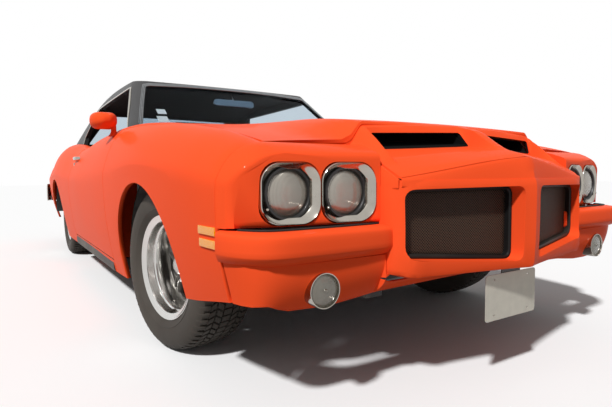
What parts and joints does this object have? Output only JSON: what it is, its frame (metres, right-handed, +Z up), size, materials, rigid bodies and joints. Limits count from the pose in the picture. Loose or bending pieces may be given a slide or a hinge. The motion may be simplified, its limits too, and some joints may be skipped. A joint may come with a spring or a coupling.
{
  "type": "two-door hardtop muscle car",
  "caption": "Two-door hardtop coupe with a prowed nose, paired round headlamps, scooped hood, and wheels, doors, hood and boot lid that move.",
  "frame": {"origin": "middle of the bounding box's footprint, on the floor under the wheels", "axes": "+Y towards the rear of the car, +X towards the car's left side, +Z up"},
  "size_m": [2, 5.164, 1.332],
  "materials": {
    "paint": "gloss",
    "moulded_paint": "gloss",
    "vinyl_roof": "matt vinyl cover on pressed steel",
    "glass": "tinted",
    "chrome": "polished",
    "wheel_metal": "polished lip, grey centre",
    "tyre": "worn",
    "black_metal": "satin",
    "bare_steel": "dull",
    "black_plastic": "grained",
    "seat_vinyl": "grained vinyl",
    "plate": "weathered",
    "iron": "painted"
  },
  "bodies": {
    "body": {"chassis_frame": "black_metal", "cowl": "black_metal", "dashboard": "black_plastic", "engine": "iron", "exhaust": "bare_steel", "floor_pan": "black_metal", "front_fender_left": "paint", "front_fender_right": "paint", "front_plate": "plate", "front_seat_left": "seat_vinyl", "front_seat_right": "seat_vinyl", "front_valance": "paint", "fuel_tank": "bare_steel", "grille_left": "black_metal", "grille_right": "black_metal", "headlamps_left": "chrome", "headlamps_right": "chrome", "inner_fenders": "black_metal", "interior_mirror": "black_plastic", "lamp_panel_left": "paint", "lamp_panel_right": "paint", "nose": "moulded_paint", "quarter_panel_left": "paint", "quarter_panel_right": "paint", "rear_axle": "black_metal", "rear_bumper": "chrome", "rear_panel": "paint", "rear_seat": "seat_vinyl", "rear_window": "glass", "roof": "vinyl_roof", "windscreen": "glass"},
    "door_left": {"door_left": "paint", "door_mirror_left": "paint"},
    "door_right": {"door_right": "paint", "door_mirror_right": "paint"},
    "hood": {"hood": "paint"},
    "trunk_lid": {"trunk_lid": "paint"},
    "knuckle_left": {"knuckle_left": "bare_steel"},
    "knuckle_right": {"knuckle_right": "bare_steel"},
    "wheel_front_left": {"tyre_front_left": "tyre", "rim_front_left": "wheel_metal"},
    "wheel_front_right": {"tyre_front_right": "tyre", "rim_front_right": "wheel_metal"},
    "wheel_rear_left": {"tyre_rear_left": "tyre", "rim_rear_left": "wheel_metal"},
    "wheel_rear_right": {"tyre_rear_right": "tyre", "rim_rear_right": "wheel_metal"},
    "steering_wheel": {"steering_wheel": "black_plastic"}
  },
  "joints": [
    {"name": "steer_right", "type": "hinge", "parent": "body", "child": "knuckle_right", "pos_m": [-0.7, -1.537, 0.32874], "axis": [0, 0, 1], "range_deg": [-41.5, 22.5]},
    {"name": "steer_left", "type": "hinge", "parent": "body", "child": "knuckle_left", "pos_m": [0.7, -1.537, 0.32874], "axis": [0, 0, 1], "range_deg": [-41.5, 22.5]},
    {"name": "steering_wheel_turn", "type": "hinge", "parent": "body", "child": "steering_wheel", "pos_m": [0.37, -0.215, 0.83], "axis": [0, 0.9135, 0.4067], "range_deg": [-581, 315]},
    {"name": "spin_front_right", "type": "hinge", "parent": "knuckle_right", "child": "wheel_front_right", "pos_m": [-0.77348, -1.5493, 0.32874], "axis": [0.9863, 0.165, 0], "continuous": true},
    {"name": "spin_front_left", "type": "hinge", "parent": "knuckle_left", "child": "wheel_front_left", "pos_m": [0.77348, -1.5247, 0.32874], "axis": [0.9863, 0.165, 0], "continuous": true},
    {"name": "spin_rear_right", "type": "hinge", "parent": "body", "child": "wheel_rear_right", "pos_m": [-0.762, 1.308, 0.32874], "axis": [1, 0, 0], "continuous": true},
    {"name": "spin_rear_left", "type": "hinge", "parent": "body", "child": "wheel_rear_left", "pos_m": [0.762, 1.308, 0.32874], "axis": [1, 0, 0], "continuous": true},
    {"name": "door_left_hinge", "type": "hinge", "parent": "body", "child": "door_left", "pos_m": [0.966, -0.895, 0.272], "axis": [0, 0, -1], "range_deg": [0, 62]},
    {"name": "door_right_hinge", "type": "hinge", "parent": "body", "child": "door_right", "pos_m": [-0.966, -0.895, 0.272], "axis": [0, 0, 1], "range_deg": [0, 62]},
    {"name": "hood_hinge", "type": "hinge", "parent": "body", "child": "hood", "pos_m": [0, -0.85, 0.925], "axis": [-1, 0, 0], "range_deg": [0, 50]},
    {"name": "trunk_hinge", "type": "hinge", "parent": "body", "child": "trunk_lid", "pos_m": [0, 1.597, 0.948], "axis": [1, 0, 0], "range_deg": [0, 60]}
  ],
  "couplings": [
    {"joint": "steer_left", "follows": "steer_right", "ratio": 1},
    {"joint": "steering_wheel_turn", "follows": "steer_right", "ratio": 14}
  ]
}
